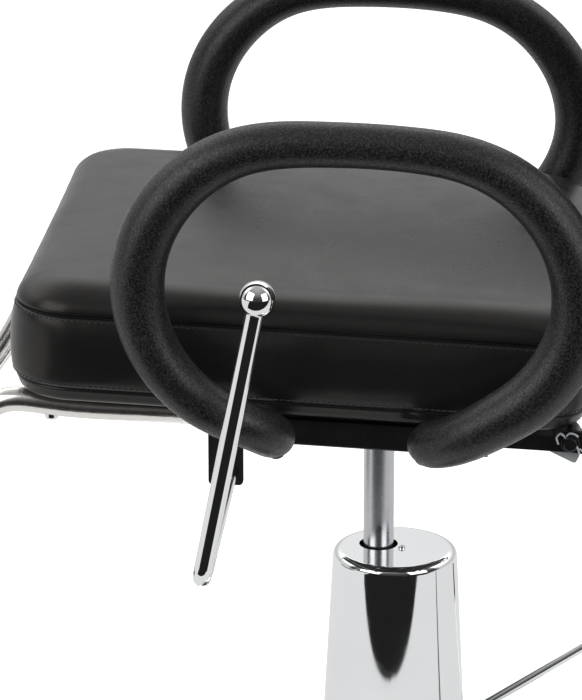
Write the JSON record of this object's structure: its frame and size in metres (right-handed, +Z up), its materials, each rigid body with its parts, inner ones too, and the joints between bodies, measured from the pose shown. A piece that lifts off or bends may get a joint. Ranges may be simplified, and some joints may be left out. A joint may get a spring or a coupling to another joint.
{
  "type": "reclining salon chair",
  "caption": "Reclining salon styling chair with loop arms, side recline lever, hydraulic pedal pump, round base, tube footrest, padded back and adjustable headrest",
  "frame": {"origin": "on the ram (lift column) axis at floor level", "axes": "+Z up; the chair faces -Y, so +Y is behind the sitter; +X is the sitter's left, the side of the recline lever"},
  "size_m": [0.6731, 0.9877, 1.1954],
  "materials": {
    "chrome": "polished",
    "cast_iron": "matte",
    "ram_steel": "satin",
    "steel": "satin",
    "zinc": "satin",
    "black_steel": "satin",
    "bronze": "satin",
    "rubber": "matte",
    "plywood": "matte",
    "vinyl": "satin",
    "arm_pu": "matte",
    "knob_plastic": "satin"
  },
  "bodies": {
    "base": {"base_plate": "chrome", "base_ring": "rubber", "mounting_plate": "black_steel", "base_bolts": "zinc", "pump_housing": "cast_iron", "gland_bush": "bronze", "wiper_seal": "rubber", "pump_cover": "chrome", "cover_screw": "chrome", "lever_pin": "steel", "plunger_spring": "zinc"},
    "ram_carriage": {"ram_piston": "ram_steel", "piston_seal": "rubber"},
    "plunger": {"pump_plunger": "steel"},
    "pump_lever": {"lever_yoke": "cast_iron", "pedal_rod": "chrome", "pedal_pad": "rubber"},
    "seat": {"ram": "ram_steel", "ram_socket": "cast_iron", "socket_bolts": "zinc", "hub_plate": "black_steel", "side_rail_left": "black_steel", "side_rail_right": "black_steel", "front_cross_bar": "black_steel", "rear_cross_bar": "black_steel", "seat_board": "plywood", "board_screws": "zinc", "seat_cushion": "vinyl", "arm_left": "arm_pu", "arm_right": "arm_pu", "arm_inserts": "zinc", "arm_bolts": "zinc", "lever_bracket": "black_steel", "lock_cylinder": "black_steel", "lock_clamps": "black_steel", "torsion_springs": "zinc", "footrest_tube_left": "chrome", "footrest_tube_right": "chrome", "footrest_bolts": "chrome", "footrest_cross_tube": "chrome", "foot_plate": "chrome", "foot_tread": "rubber"},
    "recline_lever": {"recline_lever_rod": "chrome", "lever_ball": "chrome", "release_shaft": "steel"},
    "release_pin": {"release_pin": "steel"},
    "back": {"back_shaft": "steel", "lock_crank": "black_steel", "back_bracket_left": "black_steel", "back_bracket_right": "black_steel", "pivot_bolts": "black_steel", "back_board": "plywood", "back_cushion": "vinyl", "bracket_bolts": "zinc", "headrest_sleeve": "black_steel"},
    "lock_rod": {"lock_rod": "steel"},
    "headrest_post": {"headrest_bar": "chrome"},
    "headrest": {"headrest_plate": "black_steel", "headrest_cushion": "vinyl"},
    "headrest_knob": {"headrest_knob": "knob_plastic"}
  },
  "joints": [
    {"name": "ram_lift", "type": "slide", "parent": "base", "child": "ram_carriage", "axis": [0, 0, 1], "range_m": [-0.095, 0.05]},
    {"name": "seat_swivel", "type": "hinge", "parent": "ram_carriage", "child": "seat", "pos_m": [0, 0, 0.19], "axis": [0, 0, 1], "continuous": true},
    {"name": "pump_pedal", "type": "hinge", "parent": "base", "child": "pump_lever", "pos_m": [-0.02801, 0.0589, 0.1173], "axis": [-0.7659, -0.6429, 0], "range_deg": [0, 22]},
    {"name": "pump_stroke", "type": "slide", "parent": "base", "child": "plunger", "axis": [0, 0, 1], "range_m": [0, 0.009], "deforming": ["plunger_spring"]},
    {"name": "recline_release", "type": "hinge", "parent": "seat", "child": "recline_lever", "pos_m": [0, -0.121, 0.47], "axis": [-1, 0, 0], "range_deg": [0, 18]},
    {"name": "lock_release", "type": "slide", "parent": "seat", "child": "release_pin", "axis": [0, -1, 0], "range_m": [0, 0.0056]},
    {"name": "back_recline", "type": "hinge", "parent": "seat", "child": "back", "pos_m": [0, 0.176, 0.508], "axis": [-1, 0, 0], "range_deg": [0, 50]},
    {"name": "lock_slide", "type": "slide", "parent": "seat", "child": "lock_rod", "axis": [0, -1, 0], "range_m": [0, 0.0425]},
    {"name": "headrest_lift", "type": "slide", "parent": "back", "child": "headrest_post", "axis": [0, 0.2079, 0.9781], "range_m": [0, 0.1]},
    {"name": "headrest_tilt", "type": "hinge", "parent": "headrest_post", "child": "headrest", "pos_m": [0, 0.4123, 1.12152], "axis": [-1, 0, 0], "range_deg": [-12, 30]},
    {"name": "headrest_clamp", "type": "hinge", "parent": "back", "child": "headrest_knob", "pos_m": [0, 0.38961, 0.94743], "axis": [0, 0.9781, -0.2079], "range_deg": [-180, 180]}
  ],
  "couplings": [
    {"joint": "pump_stroke", "follows": "pump_pedal", "m_per_rad": 0.0225},
    {"joint": "lock_release", "follows": "recline_release", "m_per_rad": 0.017},
    {"joint": "lock_slide", "follows": "back_recline", "m_per_rad": 0.04843}
  ]
}
